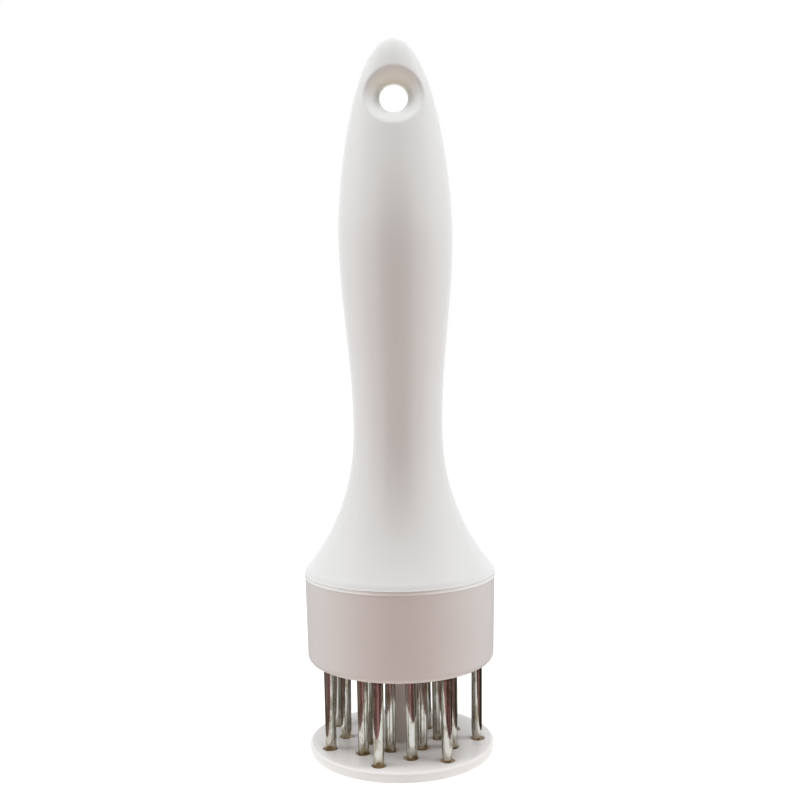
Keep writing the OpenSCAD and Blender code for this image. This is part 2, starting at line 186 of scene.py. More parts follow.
class Finishes(bpy.types.PropertyGroup):
    """Colours of the finishes, in linear light."""

    gloss_white: colour("Gloss white", "The handle's glossy plastic", (0.80, 0.815, 0.81))
    # Painted light with a tan tint: the dish's upper wall faces down and is made lighter, in place of
    # light from below and through the plastic.
    hole_tan_and_light: colour("Hole tan", "The handle's aged plastic around the hole", (1.0, 0.99, 0.86))
    # Painted shade: a grey ring at the hole's edge stands in for the shade inside the hole.
    hole_painted_shade: colour("Hole grey", "The handle's worn plastic at the hole's edge", (0.50, 0.50, 0.49))
    satin_white: colour("Satin white", "The cup's satin plastic", (0.82, 0.81, 0.80))
    # Painted highlight: the lip is made lighter than the cup's white so that it shows as a bright line.
    lip_highlight_white: colour("Lip white", "The cup's polished lip", (0.95, 0.99, 0.98))
    # Painted light and shade: the plate's top is made lighter, and its side darker and slightly
    # yellower, as the light falls on them.
    plate_white: colour("Plate white", "The guard plate's plastic", (0.96, 0.94, 0.93))
    plate_side: colour("Plate side", "The guard plate's slightly yellowed side", (0.86, 0.835, 0.81))
    # Painted light: the orange-brown of the hole walls stands in for light glowing through the plastic.
    stained: colour("Stained plastic", "The walls of the needle holes", (1.0, 0.78, 0.56))
    # Painted shade: the post is the cup's white plastic, made darker and pinker as the shade under the
    # cup.
    post_shaded_white: colour("Post grey", "The guide post's plastic", (0.78, 0.69, 0.66))
    steel: colour("Steel", "The needles' polished steel", (0.56, 0.555, 0.52))
    # Painted reflection and shade: the brown at the tips stands in for the shaded hole walls that the
    # tips mirror.
    tip_mirrored_brown: colour("Tip brown", "The tint that the ground tips took on", (0.36, 0.27, 0.12))
    tarnish: colour("Tarnish", "The patches that dulled on the needles", (0.28, 0.25, 0.17))
    # Painted shade: the near-black band on the rods right under the cup stands in for the cup's shadow
    # on them.
    under_cup_shade: colour("Grime", "The needles' tint right under the cup", (0.08, 0.06, 0.055))
    wire: colour("Wire", "The spring's drawn wire", (0.45, 0.45, 0.46))
    zinc: colour("Zinc", "The plated screws and washer", (0.56, 0.57, 0.58))


class StageSizes(bpy.types.PropertyGroup):
    """The camera, the lamps, the floor and the cards."""

    lens: number("Lens", "Focal length in millimetres on a 36 mm sensor", 49.23)
    camera_at: spot("Camera place", "Where the camera stands", (0.00067, -0.3078, 0.1184))
    pitch: angle("Pitch", "How far the camera looks down", math.radians(3.44))
    roll: angle("Roll", "How far the camera is turned about its view", math.radians(-0.75))
    side_power: watts("Side power", "Power of each side lamp", 1.75)
    side_at: spot("Side place", "The right lamp's place, mirrored for the left", (0.55, -0.02, 0.34))
    side_size: extent("Side size", "Width and height of a side lamp", (0.28, 0.75))
    side_tint: colour("Side tint", "Colour of the side lamps", (0.96, 0.98, 1))
    top_power: watts("Top power", "Power of the lamp overhead", 7.8)
    top_at: spot("Top place", "Where the lamp overhead hangs", (0, -0.10, 1.20))
    top_size: extent("Top size", "Width and depth of the lamp overhead", (0.90, 0.90))
    ambient: number("Ambient", "Strength of the even light", 0.325)
    ambient_tint: colour("Ambient tint", "Colour of the even light", (1, 0.985, 0.96))
    floor_glow: number("Floor glow", "How strongly the floor lights the tool", 0.3)
    floor_shown: number("Floor shown", "Strength at which the floor itself shows", 0.85)
    card_gap: mm("Card gap", "Radius of the card's opening", 36)
    card_shift: mm("Card shift", "How far the card stands forward of the tool", 10)
    card_reach: mm("Card reach", "Radius of the whole card", 450)
    card_lift: mm("Card lift", "Height of the card above the floor", 0.5)
    bounce_side: colour("Bounce, sides", "The card's diffuse light from the sides", (0.78, 0.77, 0.76))
    bounce_front: colour("Bounce, front", "The card's diffuse light from the front", (0.64, 0.41, 0.35))
    front_at: spot("Front card place", "Where the card behind the camera stands", (0, -0.6, 0.25))
    front_size: extent("Front card size", "Width and height of that card", (0.8, 0.7))
    front_tone: colour("Front card tone", "What glossy faces see of that card", (0.30, 0.22, 0.20))


# ---- modelling helpers


def clear_selection():
    """Back to object mode with nothing selected, since operators act on all that is selected."""
    if bpy.context.object and bpy.context.object.mode != "OBJECT":
        bpy.ops.object.mode_set(mode="OBJECT")
    bpy.ops.object.select_all(action="DESELECT")
    bpy.context.view_layer.objects.active = None


def choose(piece, mode="OBJECT"):
    """Makes the piece the one that operators act on."""
    clear_selection()
    piece.select_set(True)
    bpy.context.view_layer.objects.active = piece
    if mode != "OBJECT":
        bpy.ops.object.mode_set(mode=mode)
        bpy.ops.mesh.select_all(action="SELECT")


def pick(piece, kind, test):
    """Selects just the vertices, edges or faces of the piece being edited that pass a test."""
    bpy.ops.mesh.select_all(action="DESELECT")
    bpy.ops.mesh.select_mode(type=kind[:-1].upper())
    mesh = bmesh.from_edit_mesh(piece.data)
    for element in getattr(mesh, kind):
        if test(element):
            element.select_set(True)
    bmesh.update_edit_mesh(piece.data)


def settle(name):
    """Names the piece that an operator just added, and turns its place and size into its mesh."""
    piece = bpy.context.object
    piece.name = name
    bpy.ops.object.transform_apply(location=True, rotation=True, scale=True)
    return piece


def rings(name, sections, sides, closed=False):
    """A skin over level rings, each a height, a half width and a half depth.

    The first ring is a circle, and each next one is extruded and resized. An open skin is capped at
    both ends. A closed one goes round to its first ring, as a tube's wall does.
    """
    clear_selection()
    z, wide, deep = sections[0]
    bpy.ops.mesh.primitive_circle_add(
        vertices=sides, radius=wide, location=(0, 0, z), fill_type="NOTHING" if closed else "NGON"
    )
    piece = settle(name)
    bpy.ops.object.mode_set(mode="EDIT")
    bpy.ops.mesh.select_all(action="SELECT")
    bpy.ops.transform.resize(value=(1, deep / wide, 1), center_override=(0, 0, z))
    for before, after in zip(sections, sections[1:]):
        bpy.ops.mesh.extrude_region_move(
            TRANSFORM_OT_translate={"value": (0, 0, after[0] - before[0])}
        )
        bpy.ops.transform.resize(
            value=(after[1] / before[1], after[2] / before[2], 1), center_override=(0, 0, after[0])
        )
    bpy.ops.mesh.select_all(action="SELECT")
    bpy.ops.mesh.remove_doubles(threshold=CLOSE)
    bpy.ops.mesh.normals_make_consistent(inside=False)
    bpy.ops.object.mode_set(mode="OBJECT")
    return piece


def turned(name, outline, sides, closed=False):
    """A round piece whose outline is a list of radii and heights."""
    return rings(name, [(z, r, r) for r, z in outline], sides, closed)


def arc(r, z, radius, start, stop, steps):
    """Points of a rounded corner, from one angle in degrees to another."""
    angles = [math.radians(start + (stop - start) * i / steps) for i in range(steps + 1)]
    return [(r + radius * math.cos(a), z + radius * math.sin(a)) for a in angles]


def apply_modifier(piece, kind, **settings):
    """Adds a modifier, sets it and applies it."""
    choose(piece)
    modifier = piece.modifiers.new(kind.title(), kind)
    for key, value in settings.items():
        setattr(modifier, key, value)
    bpy.ops.object.modifier_apply(modifier=modifier.name)


def smooth(piece, degrees):
    """Smooth shading, with the edges sharper than the angle kept."""
    choose(piece)
    bpy.ops.object.shade_smooth_by_angle(angle=math.radians(degrees))


def dress(piece, *materials):
    """Gives the piece its finishes, the first one all over."""
    piece.data.materials.clear()
    for material in materials:
        piece.data.materials.append(material)


# ---- materials


class Graph:
    """A node tree under construction, such as the world's."""

    def __init__(self, tree):
        self.tree = tree

    def add(self, kind, **inputs):
        """A node, with its sockets set to numbers or linked to other sockets."""
        node = self.tree.nodes.new(kind)
        for key, value in inputs.items():
            self.feed(node.inputs[key.replace("_", " ")], value)
        return node

    def feed(self, socket, value):
        """Sets a socket to a number or a colour, or links it."""
        if isinstance(value, bpy.types.NodeSocket):
            self.tree.links.new(value, socket)
        elif hasattr(value, "__len__") and len(value) == 3 and socket.type == "RGBA":
            socket.default_value = (*value, 1)
        else:
            socket.default_value = value

    def spread(self, value, low, high, start=0.3, stop=0.7):
        """The value's range from start to stop, spread over low to high."""
        node = self.add(
            "ShaderNodeMapRange", Value=value, From_Min=start, From_Max=stop, To_Min=low, To_Max=high
        )
        return node.outputs[0]

    def calculate(self, operation, first, second):
        """One step of arithmetic."""
        node = self.add("ShaderNodeMath")
        node.operation = operation
        self.feed(node.inputs[0], first)
        self.feed(node.inputs[1], second)
        return node.outputs[0]

    def mix(self, factor, first, second):
        """A blend of two colours."""
        node = self.add("ShaderNodeMix")
        node.data_type = "RGBA"
        for name, value in (("Factor", factor), ("A", first), ("B", second)):
            self.feed(node.inputs[name], value)
        return node.outputs[2]

    def ramp(self, value, stops):
        """Colours at places along a value of 0 to 1."""
        node = self.add("ShaderNodeValToRGB", Fac=value)
        elements = node.color_ramp.elements
        elements.remove(elements[1])
        elements[0].position, elements[0].color = stops[0][0], (*stops[0][1], 1)
        for position, tone in stops[1:]:
            elements.new(position).color = (*tone, 1)
        return node.outputs["Color"]


class Finish(Graph):
    """A procedural material under construction, patterned on Object coordinates."""

    def __init__(self, name):
        self.material = bpy.data.materials.new(name)
        self.material.use_nodes = True
        super().__init__(self.material.node_tree)
        self.shader = self.tree.nodes["Principled BSDF"]
        self.place = self.add("ShaderNodeTexCoord").outputs["Object"]

    def set(self, **inputs):
        """Sets or links sockets of the shader itself."""
        for key, value in inputs.items():
            self.feed(self.shader.inputs[key.replace("_", " ")], value)

    def surface(self, shader):
        """Makes a shader the one that the material shows."""
        self.feed(self.tree.nodes["Material Output"].inputs["Surface"], shader)

    def noise(self, scale, detail=2.0, stretch=(1, 1, 1), rough=0.5):
        """A cloud of 0 to 1. The scale is in features to a metre."""
        mapped = self.add("ShaderNodeMapping", Vector=self.place, Scale=stretch)
        node = self.add(
            "ShaderNodeTexNoise", Vector=mapped.outputs[0], Scale=scale, Detail=detail, Roughness=rough
        )
        return node.outputs["Fac"]

    def bump(self, height, distance, under=None):
        """Relief of a height of 0 to 1 over a distance in metres, on top of another relief."""
        node = self.add("ShaderNodeBump", Height=height, Strength=1.0, Distance=distance)
        if under is not None:
            self.feed(node.inputs["Normal"], under)
        return node.outputs["Normal"]


def shaded(colour_value, factor):
    """The same colour, lighter or darker."""
    return tuple(channel * factor for channel in colour_value)


def gloss_plastic(finishes, sizes):
    """Polished injection-moulded plastic: faint flow clouds, slight waviness and fine scuffs.

    Around the hang hole it carries painted light and shade: a lighter tan on the dish's upper wall, and
    a grey ring of painted shade at the hole's edge.
    """
    # Where the painted light on the dish's upper wall starts and ends above the hole's axis, and the
    # width of the painted shade ring.
    light_from, light_to, dark_reach = -1 * MM, 4 * MM, 1.7 * MM
    made = Finish("gloss_white_plastic")
    clouds = made.noise(35, detail=3, stretch=(1, 1, 0.35))
    scuffs = made.noise(420, detail=6, stretch=(1, 1, 0.2), rough=0.65)
    waves = made.noise(55, detail=1)
    grain = made.noise(4200, detail=2)
    hole = made.add(
        "ShaderNodeMapping", Vector=made.place, Scale=(1, 0, 1), Location=-Vector(HANG_HOLE["pos_m"])
    )
    away = made.add("ShaderNodeVectorMath")
    away.operation = "LENGTH"
    made.feed(away.inputs[0], hole.outputs[0])
    above = made.add("ShaderNodeSeparateXYZ", Vector=hole.outputs[0]).outputs["Z"]
    far = away.outputs["Value"]
    near = made.spread(far, 1, 0, start=sizes.hole_r, stop=sizes.dish_r)
    # Painted light with a tan tint over the upper half of the dish.
    painted_light_tan = made.calculate("MULTIPLY", near, made.spread(above, 0, 1, start=light_from, stop=light_to))
    # Painted shade in a narrow ring round the hole's edge.
    painted_dark = made.spread(far, 0.6, 0, start=sizes.hole_r, stop=sizes.hole_r + dark_reach)
    plain = made.mix(clouds, finishes.gloss_white, shaded(finishes.gloss_white, 0.965))
    ringed = made.mix(painted_dark, plain, finishes.hole_painted_shade)
    made.set(
        Base_Color=made.mix(painted_light_tan, ringed, finishes.hole_tan_and_light),
        Roughness=made.spread(scuffs, 0.15, 0.27),
        Normal=made.bump(grain, 4e-6, under=made.bump(waves, 6e-5)),
    )
    return made.material


def satin_plastic(name, base, rough, shade=0.94, gloss=0.5):
    """Unpolished moulded plastic: a fine eroded grain with slight clouds."""
    made = Finish(name)
    clouds = made.noise(60, detail=4)
    grain = made.noise(2600, detail=4, rough=0.6)
    drag = made.noise(900, detail=3, stretch=(1, 1, 0.08))
    made.set(
        Base_Color=made.mix(clouds, base, shaded(base, shade)),
        Roughness=made.spread(grain, rough - 0.05, rough + 0.08),
        Specular_IOR_Level=gloss,
        Normal=made.bump(drag, 8e-6, under=made.bump(grain, 1.6e-5)),
    )
    return made.material


def stained_plastic(finishes):
    """The hole walls, tinted orange-brown as painted light that stands in for light glowing through the
    plastic.
    """
    made = Finish("stained_plastic")
    patches = made.noise(700, detail=4)
    made.set(
        Base_Color=made.mix(patches, finishes.stained, shaded(finishes.plate_white, 0.92)),
        Roughness=made.spread(patches, 0.4, 0.6),
        Normal=made.bump(patches, 2e-5),
    )
    return made.material


def needle_steel(finishes):
    """Polished steel with draw lines along the rod and dull in patches, with painted shade right under
    the cup and a painted brown reflection of the hole at the tip.
    """
    # Heights over which the tip's painted reflection fades out.
    mirrored_from, mirrored_to = 2.2 * MM, 6 * MM
    # Heights of the painted shade band right under the cup.
    under_cup_shade_from, under_cup_shade_to = CUP_LOW.z - 1.8 * MM, CUP_LOW.z - 0.4 * MM
    made = Finish("needle_steel")
    lines = made.noise(5200, detail=3, stretch=(1, 1, 0.02))
    ripples = made.noise(420, detail=2, stretch=(1, 1, 0.5))
    patches = made.noise(520, detail=5, stretch=(1, 1, 0.35), rough=0.6)
    specks = made.noise(1500, detail=4)
    height = made.add("ShaderNodeSeparateXYZ", Vector=made.place).outputs["Z"]
    dull = made.spread(patches, 0, 0.85, start=0.47, stop=0.62)
    # Painted reflection of the brown hole, browner towards the tip and broken up by specks.
    tip_mirrored = made.spread(height, 1, 0, start=mirrored_from, stop=mirrored_to)
    tip_mirrored_specks = made.calculate("MULTIPLY", tip_mirrored, made.spread(specks, 0.55, 1.0))
    # Painted shade on the rods just under the cup.
    under_cup_dark = made.spread(height, 0, 0.7, start=under_cup_shade_from, stop=under_cup_shade_to)
    bright = made.mix(under_cup_dark, made.mix(dull, finishes.steel, finishes.tarnish), finishes.under_cup_shade)
    made.set(
        Base_Color=made.mix(tip_mirrored_specks, bright, finishes.tip_mirrored_brown),
        Metallic=1.0,
        Roughness=made.spread(patches, 0.07, 0.20, start=0.45, stop=0.65),
        Normal=made.bump(lines, 3e-6, under=made.bump(ripples, 2.2e-5)),
    )
    return made.material


def plain_metal(name, base, rough, stretch=(1, 1, 1)):
    """Plated or drawn metal with a fine irregular grain."""
    made = Finish(name)
    grain = made.noise(1800, detail=4, stretch=stretch)
    clouds = made.noise(260, detail=3)
    made.set(
        Base_Color=made.mix(clouds, base, shaded(base, 0.82)),
        Metallic=1.0,
        Roughness=made.spread(grain, rough - 0.06, rough + 0.1),
        Normal=made.bump(grain, 6e-6),
    )
    return made.material


# ---- where the needles stand


def needle_place(node):
    """Where a needle's head ends, where its tip ends, and the turn of its chisel edge."""
    near = 0.15 * MM
    points = {tuple(round(c, 7) for c in v.co) for v in frame["nodes"][node].data.vertices}
    low = min(p[2] for p in points)
    high = max(p[2] for p in points)
    end = [Vector(p) for p in points if p[2] < low + near]
    crown = [Vector(p) for p in points if p[2] > high - near]
    tip = middle(end)
    sxx = sum((p.x - tip.x) ** 2 for p in end)
    syy = sum((p.y - tip.y) ** 2 for p in end)
    sxy = sum((p.x - tip.x) * (p.y - tip.y) for p in end)
    return middle(crown), tip, 0.5 * math.atan2(2 * sxy, sxx - syy)


def middle(points):
    """The centre of the box around some points."""
    low = Vector([min(p[i] for p in points) for i in range(3)])
    high = Vector([max(p[i] for p in points) for i in range(3)])
    return (low + high) / 2


# ---- the handle


class HandleShape:
    """The handle's skin: half its width and half its depth at each height above the seam."""

    def __init__(self, sizes, cup):
        self.sizes = sizes
        self.flare_r = HANDLE_HIGH.x - sizes.bead_out
        self.plug_r = CUP_HIGH.x - cup.lip_out - cup.taper - cup.wall - sizes.spigot_gap
        self.tall = TOP_Z - SEAM_Z

    def half_width(self, h):
        """Half the skin's width at a height above the seam."""
        s = self.sizes
        if h < s.neck_h:
            rise = (s.neck_h - h) / (s.neck_h - s.rim_h)
            return s.neck_r + (self.flare_r - s.neck_r) * rise ** s.flare_power
        if h < s.grip_h:
            turn = math.pi * (s.grip_h - h) / (s.grip_h - s.neck_h)
            return (s.grip_r + s.neck_r) / 2 + (s.grip_r - s.neck_r) / 2 * math.cos(turn)
        rise = min(1, (h - s.grip_h) / (self.tall - s.grip_h))
        return s.grip_r * (1 - rise ** s.dome_power) ** s.dome_root

    def depth_share(self, h):
        """The skin's depth as a share of its width."""
        s = self.sizes
        t = min(1, max(0, (h - s.flat_from_h) / (s.flat_to_h - s.flat_from_h)))
        return 1 - (1 - s.flatness) * t * t * (3 - 2 * t)

    def section(self, h):
        """The ring at a height above the seam."""
        wide = self.half_width(h)
        return (SEAM_Z + h, wide, wide * self.depth_share(h))

    def depth(self, x, z):
        """How far the skin stands out along Y at a place seen from the front."""
        h = z - SEAM_Z
        wide = self.half_width(h)
        return self.depth_share(h) * math.sqrt(max(0, wide * wide - x * x))

    def inner_sections(self):
        """The hollow, from its closed end down to the plug's mouth and up the plug to the seam."""
        s = self.sizes
        steps, chamfer, draft = 16, 2 * MM, 0.6 * MM
        core_r = s.neck_r - s.wall - draft
        core_z = SEAM_Z + s.core_h
        bore_r = self.plug_r - s.spigot_wall
        outline = [(core_r - chamfer, core_z), (core_r, core_z - chamfer)]
        for i in range(steps, -1, -1):
            h = s.rim_h + (s.neck_h - s.rim_h) * i / steps
            outline.append((min(bore_r, self.half_width(h) - s.wall), SEAM_Z + h))
        foot_z = SEAM_Z - s.spigot_h
        outline += [(bore_r, foot_z), (self.plug_r, foot_z), (self.plug_r, SEAM_Z)]
        return [(z, r, r) for r, z in outline]

    def outer_sections(self):
        """The bead at the seam, then rings that lie closer around the hole and towards the top."""
        s = self.sizes
        bead, flare, grip, dome, cap = 8, 44, 40, 56, 14    # rings in each part
        cap_from = self.tall - s.cap_h
        up = []
        for start, stop, steps in (
            (s.rim_h, s.neck_h, flare), (s.neck_h, s.grip_h, grip), (s.grip_h, cap_from, dome)
        ):
            up += [start + (stop - start) * i / steps for i in range(steps)]
        up += [self.tall - s.cap_h * (1 - i / cap) ** 2 for i in range(cap)]
        foot = arc(HANDLE_HIGH.x - s.bead_r, SEAM_Z + s.bead_r, s.bead_r, -90, 60, bead)
        return [(z, r, r) for r, z in foot] + [self.section(h) for h in up]


class HangHole:
    """The hang hole: a short waist that opens on both broad faces like a trumpet."""

    def __init__(self, shape):
        self.shape = shape
        self.sizes = shape.sizes
        self.centre = Vector(HANG_HOLE["pos_m"])
        self.window_share = 0.86
        self.window_up = 10 * MM
        self.window_down = 11 * MM

    def away(self, point):
        """A point's offset from the hole's axis."""
        return Vector((point.x - self.centre.x, 0, point.z - self.centre.z))

    def reach(self, way):
        """Where the dish's rim lies in a direction from the hole's axis."""
        return self.sizes.dish_r + self.sizes.dish_down * (1 - way.z) / 2

    def in_window(self, face):
        """Whether a face makes way for the hole and its dish."""
        at = face.calc_center_median()
        level = -self.window_down < at.z - self.centre.z < self.window_up
        return level and abs(at.x) < self.window_share * self.shape.half_width(at.z - SEAM_Z)

    def on_skin(self, way, out, loops_left):
        """A place on the skin, one of the loops between the window's edge and the rim."""
        rim = self.reach(way)
        nearer = rim + (out - rim) * loops_left / (loops_left + 1)
        point = self.centre + way * nearer
        return nearer, self.shape.depth(point.x, point.z)

    def in_dish(self, way, share_out):
        """A place in the dish, at a share of the turn from the waist out to the rim."""
        s = self.sizes
        rim = self.centre + way * self.reach(way)
        rise = self.shape.depth(rim.x, rim.z) - s.waist / 2
        low, high = s.dish_from, s.dish_to
        turn = low + (high - low) * share_out
        wide = (math.cos(low) - math.cos(turn)) / (math.cos(low) - math.cos(high))
        deep = (math.sin(turn) - math.sin(low)) / (math.sin(high) - math.sin(low))
        return s.hole_r + (self.reach(way) - s.hole_r) * wide, s.waist / 2 + rise * deep

    def draw_in(self, piece, place):
        """One more loop inwards. Each new point keeps its direction from the hole's axis."""
        bpy.ops.mesh.extrude_region_move(TRANSFORM_OT_translate={"value": (0, 0, 0)})
        mesh = bmesh.from_edit_mesh(piece.data)
        for vert in mesh.verts:
            if vert.select:
                side = math.copysign(1, vert.co.y)
                away = self.away(vert.co)
                way = away.normalized()
                out, deep = place(way, away.length)
                point = self.centre + way * out
                vert.co = (point.x, side * deep, point.z)
        bmesh.update_edit_mesh(piece.data)

    def on_rim(self, vert, band=CLOSE):
        """Whether a point of a broad face lies within a band along the dish's rim."""
        away = self.away(vert.co)
        near = abs(away.length - self.reach(away.normalized())) < band
        return near and abs(vert.co.y) > self.sizes.waist

    def on_waist_edge(self, vert):
        """Whether a point lies at an end of the waist."""
        near = abs(self.away(vert.co).length - self.sizes.hole_r) < CLOSE
        return near and abs(abs(vert.co.y) - self.sizes.waist / 2) < CLOSE

    def is_edge(self, edge):
        """The dish's rim, or an end of the waist."""
        first, second = edge.verts
        if self.on_rim(first) and self.on_rim(second):
            return True
        level = abs(first.co.y - second.co.y) < CLOSE
        return level and self.on_waist_edge(first) and self.on_waist_edge(second)

    def in_soft_rim(self, vert):
        """The lower part of the rim, which runs out softly into the skin."""
        away = self.away(vert.co)
        low = away.z < self.sizes.soft_share * away.length
        return low and self.on_rim(vert, band=self.sizes.soft_reach)

    def cut(self, piece):
        """Opens a window in both faces, draws its edge in to the dish and joins the two sides."""
        skin_loops, dish_loops = 3, 14
        choose(piece, "EDIT")
        pick(piece, "faces", self.in_window)
        bpy.ops.mesh.delete(type="FACE")
        pick(piece, "edges", lambda edge: edge.is_boundary)
        for left in range(skin_loops - 1, -1, -1):
            self.draw_in(piece, lambda way, out: self.on_skin(way, out, left))
        for i in range(dish_loops - 1, -1, -1):
            self.draw_in(piece, lambda way, out: self.in_dish(way, i / dish_loops))
        bpy.ops.mesh.bridge_edge_loops()
        bpy.ops.mesh.select_all(action="SELECT")
        bpy.ops.mesh.normals_make_consistent(inside=False)
        pick(piece, "edges", self.is_edge)
        bpy.ops.mesh.bevel(offset=self.sizes.dish_edge, segments=3, affect="EDGES")
        pick(piece, "verts", self.in_soft_rim)
        bpy.ops.mesh.vertices_smooth(factor=0.5, repeat=4)
        bpy.ops.object.mode_set(mode="OBJECT")


class TENDERIZER_OT_handle(bpy.types.Operator):
    """Models the hollow push handle with its flare, waist, grip and hang hole."""

    bl_idname = "tenderizer.handle"
    bl_label = "Handle"

    def execute(self, context):
        sizes = context.scene.tenderizer_handle
        shape = HandleShape(sizes, context.scene.tenderizer_cup)
        piece = rings("handle", shape.inner_sections() + shape.outer_sections(), sizes.sides)
        last = max(vert.co.z for vert in piece.data.vertices)
        choose(piece, "EDIT")
        pick(piece, "verts", lambda vert: vert.co.z > last - CLOSE)
        bpy.ops.mesh.merge(type="CENTER")
        bpy.ops.transform.translate(value=(0, 0, TOP_Z - last))
        bpy.ops.object.mode_set(mode="OBJECT")
        HangHole(shape).cut(piece)
        smooth(piece, 40)
        dress(piece, gloss_plastic(context.scene.tenderizer_finishes, sizes))
        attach(piece, "handle")
        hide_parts("handle_shell")
        return {"FINISHED"}


# The lip's profile, upwards, as shares of its overhang and of its height below the seam. Above it
# the side slopes in, up to the last share.
LIP_PROFILE = ((0, 1), (0.8, 0.95), (1, 0.87), (0.8, 0.78))
LIP_SLOPE_END = 0.12


class TENDERIZER_OT_cup(bpy.types.Operator):
    """Models the needle cup with its lip, rounded foot, floor and guide tube."""

    bl_idname = "tenderizer.cup"
    bl_label = "Needle cup"

    def execute(self, context):
        s = context.scene.tenderizer_cup
        finishes = context.scene.tenderizer_finishes
        cup_r = CUP_HIGH.x - s.lip_out
        foot_r = cup_r - s.taper
        bore_r = foot_r - s.wall
        guide_bore_r = POST_HIGH.x + s.guide_gap
        floor_z = CUP_LOW.z + s.floor
        edge = 0.2 * MM
        outline = [(guide_bore_r, CUP_LOW.z + edge), (guide_bore_r + edge, CUP_LOW.z)]
        outline += arc(foot_r - s.foot_r, CUP_LOW.z + s.foot_r, s.foot_r, -90, 0, steps=14)
        outline += [(cup_r + s.lip_out * out, SEAM_Z - s.lip_h * down) for out, down in LIP_PROFILE]
        outline += [
            (cup_r - s.lip_in, SEAM_Z - s.lip_h * LIP_SLOPE_END),
            (cup_r - s.lip_in, SEAM_Z),
            (bore_r, SEAM_Z),
            (bore_r, floor_z),
            (guide_bore_r + s.guide_wall, floor_z),
            (guide_bore_r + s.guide_wall, POST_HIGH.z),
            (guide_bore_r, POST_HIGH.z),
            (guide_bore_r, CUP_LOW.z + edge),
        ]
        piece = turned("cup", outline, s.sides, closed=True)
        smooth(piece, 30)
        dress(
            piece,
            satin_plastic("satin_white_plastic", finishes.satin_white, rough=0.40),
            satin_plastic("lip_plastic", finishes.lip_highlight_white, rough=0.25, shade=0.98, gloss=1.0),
        )
        # The lip's faces take the lighter finish, a painted highlight.
        for face in piece.data.polygons:
            outside = face.center.xy.length > cup_r - s.lip_in - s.lip_out
            if outside and face.center.z > SEAM_Z - s.lip_h:
                face.material_index = 1
        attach(piece, "handle")
        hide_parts("needle_cup")
        return {"FINISHED"}


class TENDERIZER_OT_guard_disc(bpy.types.Operator):
    """Models the guard plate, drills a hole for each needle and breaks the holes' edges."""

    bl_idname = "tenderizer.guard_disc"
    bl_label = "Guard disc"

    def execute(self, context):
        s = context.scene.tenderizer_plate
        finishes = context.scene.tenderizer_finishes
        top_r = PLATE_HIGH.x
        low_r = top_r - s.draft
        thick = PLATE_HIGH.z - PLATE_LOW.z
        inner_r = low_r - s.top_edge_r
        outline = arc(low_r - s.edge_r, s.edge_r, s.edge_r, -90, 0, steps=6)
        outline += arc(top_r - s.top_edge_r, thick - s.top_edge_r, s.top_edge_r, 0, 90, steps=9)
        piece = turned("guard_disc", [(r, PLATE_LOW.z + z) for r, z in outline], s.sides)
        drill = self.drill(s, thick)
        apply_modifier(piece, "BOOLEAN", operation="DIFFERENCE", object=drill, solver="EXACT")
        bpy.data.objects.remove(drill)
        self.break_edges(piece, s, inner_r)
        smooth(piece, 35)
        dress(
            piece,
            satin_plastic("plate_white_plastic", finishes.plate_white, rough=0.34, shade=0.97),
            stained_plastic(finishes),
            satin_plastic("plate_side_plastic", finishes.plate_side, rough=0.34, shade=0.97),
        )
        # The hole walls take the second finish, and the side takes the darker third one, which is
        # painted shade.
        hole_slope, side_slope = 0.9, 0.5
        for face in piece.data.polygons:
            inside = face.center.xy.length < inner_r
            if inside and abs(face.normal.z) < hole_slope:
                face.material_index = 1
            elif not inside and abs(face.normal.z) < side_slope:
                face.material_index = 2
        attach(piece, "guard")
        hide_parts("guard_plate")
        return {"FINISHED"}

    def drill(self, s, thick):
        """All the holes' cutters as one object."""
        clear_selection()
        made = []
        for name in NEEDLES:
            head, tip, _ = needle_place(name)
            at = hole_centre(head, tip)
            bpy.ops.mesh.primitive_cylinder_add(
                vertices=s.hole_sides, radius=s.hole_r, depth=3 * thick,
                location=(at.x, at.y, thick / 2),
            )
            made.append(bpy.context.object)
        clear_selection()
        for cutter in made:
            cutter.select_set(True)
        bpy.context.view_layer.objects.active = made[0]
        bpy.ops.object.join()
        return bpy.context.object

    def break_edges(self, piece, s, inner_r):
        """Rounds the upper and lower edge of every hole."""

        def round_hole(edge):
            inside = all(v.co.xy.length < inner_r for v in edge.verts)
            level = abs(edge.verts[0].co.z - edge.verts[1].co.z) < CLOSE
            return inside and level and edge.calc_face_angle(0) > math.radians(60)

        choose(piece, "EDIT")
        pick(piece, "edges", round_hole)
        bpy.ops.mesh.bevel(offset=s.hole_break, segments=3, affect="EDGES")
        bpy.ops.object.mode_set(mode="OBJECT")


def hole_centre(head, tip):
    """Where a needle's axis meets the cup's floor, which its hole in the plate is centred on."""
    floor_z = CUP_LOW.z + bpy.context.scene.tenderizer_cup.floor
    return tip.lerp(head, (floor_z - tip.z) / (head.z - tip.z))


